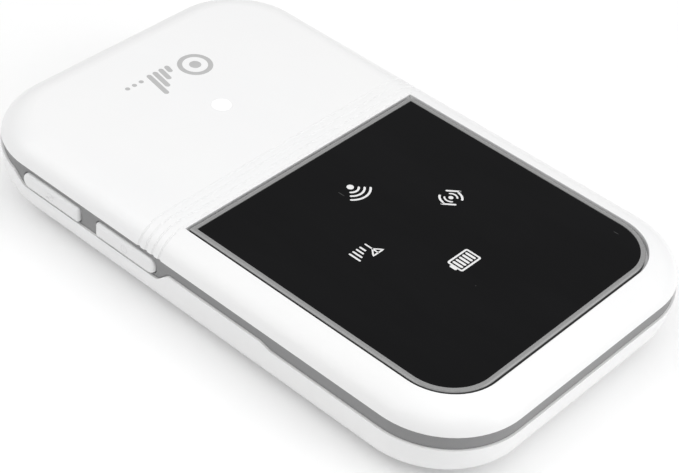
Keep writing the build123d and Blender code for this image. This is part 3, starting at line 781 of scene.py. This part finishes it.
class HOTSPOT_OT_key_symbols(Operator):
    """Raise the small symbols on the two side keys"""
    bl_idname = "hotspot.key_symbols"
    bl_label = "Key symbols"

    def execute(self, context):
        sizes = context.scene.hotspot_print
        finish = context.scene.hotspot_finish
        raised = moulded_gloss("raised_symbol", shade(finish.key, 0.93), 0.3, 0.000002)
        for name, low, high in (("power", power_low, power_high), ("wps", wps_low, wps_high)):
            middle = ((low.x + high.x) / 2, low.y + 0.02 * MM, (low.z + high.z) / 2)
            art = Print(Sheet(middle, (1, 0, 0), (0, 0, 1)), sizes.ink * 1.6)
            if name == "power":
                art.stroke(arc(0, 0, 0.62, 125, 415, 36), 0.2)
                art.stroke(line((0, 0.1), (0, 0.78)), 0.2)
            else:
                for painted_gap_shade in (1, -1):
                    art.stroke(painted_gap_shade * arc(0, 0, 0.66, 20, 150), 0.18)
                    art.stroke(painted_gap_shade * line((0.28, 0.36), (0.62, 0.22), (0.9, 0.5)), 0.16)
                art.dot(0, 0, 0.17, 16)
            art.make(f"{name}_key_symbol", raised, f"{name}_key")
        return {"FINISHED"}


class HOTSPOT_OT_battery_print(Operator):
    """Print the battery's label: a border, plain rules and the two polarity signs"""
    bl_idname = "hotspot.battery_print"
    bl_label = "Battery print"

    def execute(self, context):
        sizes = context.scene.hotspot_print
        ink = printed_ink("label_ink", (0.05, 0.05, 0.055))
        middle = (battery_low + battery_high) / 2
        sheet = Sheet((middle.x, middle.y, battery_low.z), (0, 1, 0), (1, 0, 0))
        art = Print(sheet, sizes.ink)
        wide = (battery_high.y - battery_low.y) / MM
        tall = (battery_high.x - battery_low.x) / MM
        art.stroke(rounded_loop(0, 0, wide - 3, tall - 3, 1.2), 0.3, looped=True)
        for number in range(5):
            art.stroke(line((-14, 14 - 3 * number), (14 - 3.2 * (number % 3), 14 - 3 * number)), 0.45)
        foot = -tall / 2 + 4.5
        art.stroke(line((-4, foot), (-2, foot)), 0.4)
        art.stroke(line((-3, foot - 1), (-3, foot + 1)), 0.4)
        art.stroke(line((2, foot), (4, foot)), 0.4)
        art.make("battery_print", ink, "battery")
        return {"FINISHED"}


class HOTSPOT_OT_rating_print(Operator):
    """Print the plain rating label: a border and empty ruled fields"""
    bl_idname = "hotspot.rating_print"
    bl_label = "Rating print"

    def execute(self, context):
        sizes = context.scene.hotspot_print
        ink = printed_ink("rating_ink", (0.08, 0.08, 0.085))
        middle = (rating_low + rating_high) / 2
        art = Print(Sheet((middle.x, middle.y, rating_low.z), (1, 0, 0), (0, -1, 0)), sizes.ink)
        wide = (rating_high.x - rating_low.x) / MM
        tall = (rating_high.y - rating_low.y) / MM
        art.stroke(rounded_loop(0, 0, wide - 2, tall - 2, 0.8), 0.25, looped=True)
        for number in range(4):
            height = tall / 2 - 4 - 3.2 * number
            art.stroke(line((-wide / 2 + 3, height), (wide / 2 - 9, height)), 0.3)
        art.stroke(rounded_loop(wide / 2 - 5, 0, 4, tall - 7, 0.4), 0.25, looped=True)
        art.make("rating_print", ink, "case")
        return {"FINISHED"}


class HOTSPOT_OT_mould_marks(Operator):
    """Raise the round ejector marks inside the rear cover and the card outline by its holder"""
    bl_idname = "hotspot.mould_marks"
    bl_label = "Mould marks"

    def execute(self, context):
        finish = context.scene.hotspot_finish
        white = moulded_gloss("mould_mark_white", finish.cover, 0.4, 0.000003)
        wall = 1.2 * MM
        floor = rear_low.z + wall
        marks = Print(Sheet((0, 0, floor), (1, 0, 0), (0, 1, 0)), 0.05 * MM)
        for x in (-36, -12, 12, 36):
            for y in (-18, 18):
                marks.stroke(ellipse(x, y, 1.6, 1.6, 40), 0.22, looped=True)
        marks.make("ejector_marks", white, "rear_cover")
        grey = eroded_satin("card_outline_grey", shade(finish.band, 1.25), 0.45, 0.000006)
        under = holder_low.z - 0.001 * MM
        card = Print(Sheet((-31 * MM, 0, under), (0, 1, 0), (1, 0, 0)), 0.03 * MM)
        card.stroke(line((-4, -3), (4, -3), (4, 1.6), (2.6, 3), (-4, 3), (-4, -3)), 0.3)
        card.stroke(rounded_loop(-1.4, 0, 2.6, 2.2, 0.4), 0.22, looped=True)
        card.make("card_outline", grey, "case")
        return {"FINISHED"}


# ---- operator: studio ---------------------------------------------------------------------
CAMERA_ANGLES = (39.22, 38.04, 5.53)   # round the case, above the table and about the view, in degrees
CAMERA_DISTANCE = 0.29905              # from the middle of the window's surface
CAMERA_LENS = 105.35                   # focal length in millimetres
CAMERA_SHIFT = (0.00997, -0.0879)      # share of the frame's width


def soft_light(name, place, aim, width, height, power):
    """A rectangular soft light that faces its aim."""
    lamp = bpy.data.lights.new(name, "AREA")
    lamp.shape = "RECTANGLE"
    lamp.size = width
    lamp.size_y = height
    lamp.energy = power
    holder = bpy.data.objects.new(name, lamp)
    holder.location = place
    holder.rotation_mode = "QUATERNION"
    holder.rotation_quaternion = (Vector(aim) - Vector(place)).to_track_quat("-Z", "Y")
    bpy.context.scene.collection.objects.link(holder)


class HOTSPOT_OT_studio(Operator):
    """Lay the pale floor, hang the soft lights and set the camera"""
    bl_idname = "hotspot.studio"
    bl_label = "Studio"

    def execute(self, context):
        scene = context.scene
        studio = scene.hotspot_studio
        self.floor(scene, studio)
        soft_light("overhead", (0.05, -0.02, 0.62), (0, 0, 0), 0.9, 0.9, studio.overhead)
        soft_light("window_side", (0.56, 0.26, 0.26), (0, 0, 0), 0.5, 0.4, studio.window_side)
        soft_light("key_side", (-0.32, -0.40, 0.48), (0, 0, 0), 0.6, 0.35, studio.key_side)
        world = bpy.data.worlds.new("even_sky")
        world.use_nodes = True
        background = world.node_tree.nodes["Background"]
        background.inputs["Color"].default_value = (1, 1, 1, 1)
        background.inputs["Strength"].default_value = studio.sky
        scene.world = world
        scene.view_settings.view_transform = "Standard"
        self.camera(scene)
        return {"FINISHED"}

    def floor(self, scene, studio):
        """A wide level sheet."""
        reach = 2.0
        corners = [(-reach, -reach, 0), (reach, -reach, 0), (reach, reach, 0), (-reach, reach, 0)]
        mesh = bpy.data.meshes.new("floor")
        mesh.from_pydata(corners, [], [(0, 1, 2, 3)])
        g = Graph("pale_floor", Specular_IOR_Level=0.1, Emission_Strength=0.06)
        paper = g.noise(30, 3)
        g.feed("Base Color", g.blend(paper, shade(studio.floor, 0.995), shade(studio.floor, 1.005)))
        g.feed("Roughness", paper * 0.05 + 0.8)
        g.feed("Emission Color", g.blend(paper, shade(studio.floor, 0.99), studio.floor))
        mesh.materials.append(g.material)
        sheet = bpy.data.objects.new("floor", mesh)
        scene.collection.objects.link(sheet)

    def camera(self, scene):
        """A long lens above the window's near corner, with a small shift that frames the case."""
        turn, lift, roll = (math.radians(angle) for angle in CAMERA_ANGLES)
        back = Vector((math.sin(turn) * math.cos(lift), -math.cos(turn) * math.cos(lift), math.sin(lift)))
        right = Vector((math.cos(turn), math.sin(turn), 0))
        up = back.cross(right)
        right_rolled = right * math.cos(roll) + up * math.sin(roll)
        up_rolled = up * math.cos(roll) - right * math.sin(roll)
        lens = bpy.data.cameras.new("camera")
        lens.sensor_width = 36
        lens.lens = CAMERA_LENS
        lens.shift_x, lens.shift_y = CAMERA_SHIFT
        lens.clip_start = 0.01
        lens.clip_end = 10
        eye = bpy.data.objects.new("camera", lens)
        spin = Matrix((right_rolled, up_rolled, back)).transposed()
        aim = Vector((0, 0, window_high.z))
        eye.matrix_world = Matrix.Translation(aim + back * CAMERA_DISTANCE) @ spin.to_4x4()
        scene.collection.objects.link(eye)
        scene.camera = eye


PROPERTY_GROUPS = {
    "hotspot_finish": HotspotFinish,
    "hotspot_print": HotspotPrint,
    "hotspot_studio": HotspotStudio,
}
OPERATORS = [
    HOTSPOT_OT_studio,
    HOTSPOT_OT_case,
    HOTSPOT_OT_inside,
    HOTSPOT_OT_wireless_symbol,
    HOTSPOT_OT_data_symbol,
    HOTSPOT_OT_signal_symbol,
    HOTSPOT_OT_charge_symbol,
    HOTSPOT_OT_cover_mark,
    HOTSPOT_OT_key_symbols,
    HOTSPOT_OT_battery_print,
    HOTSPOT_OT_rating_print,
    HOTSPOT_OT_mould_marks,
]


class HOTSPOT_PT_sidebar(Panel):
    """Lists the hotspot's settings and its operators"""
    bl_idname = "HOTSPOT_PT_sidebar"
    bl_label = "Hotspot"
    bl_space_type = "VIEW_3D"
    bl_region_type = "UI"
    bl_category = "Hotspot"

    def draw(self, context):
        for group in PROPERTY_GROUPS:
            settings = getattr(context.scene, group)
            box = self.layout.box()
            for name in settings.__annotations__:
                box.prop(settings, name)
        for operator in OPERATORS:
            self.layout.operator(operator.bl_idname)


def register():
    for name, group in PROPERTY_GROUPS.items():
        bpy.utils.register_class(group)
        setattr(bpy.types.Scene, name, PointerProperty(type=group))
    for operator in OPERATORS:
        bpy.utils.register_class(operator)
    bpy.utils.register_class(HOTSPOT_PT_sidebar)


def unregister():
    bpy.utils.unregister_class(HOTSPOT_PT_sidebar)
    for operator in reversed(OPERATORS):
        bpy.utils.unregister_class(operator)
    for name, group in reversed(PROPERTY_GROUPS.items()):
        delattr(bpy.types.Scene, name)
        bpy.utils.unregister_class(group)


def main():
    register()
    for operator in OPERATORS:
        group, name = operator.bl_idname.split(".")
        getattr(getattr(bpy.ops, group), name)()


if __name__ == "__main__":
    main()
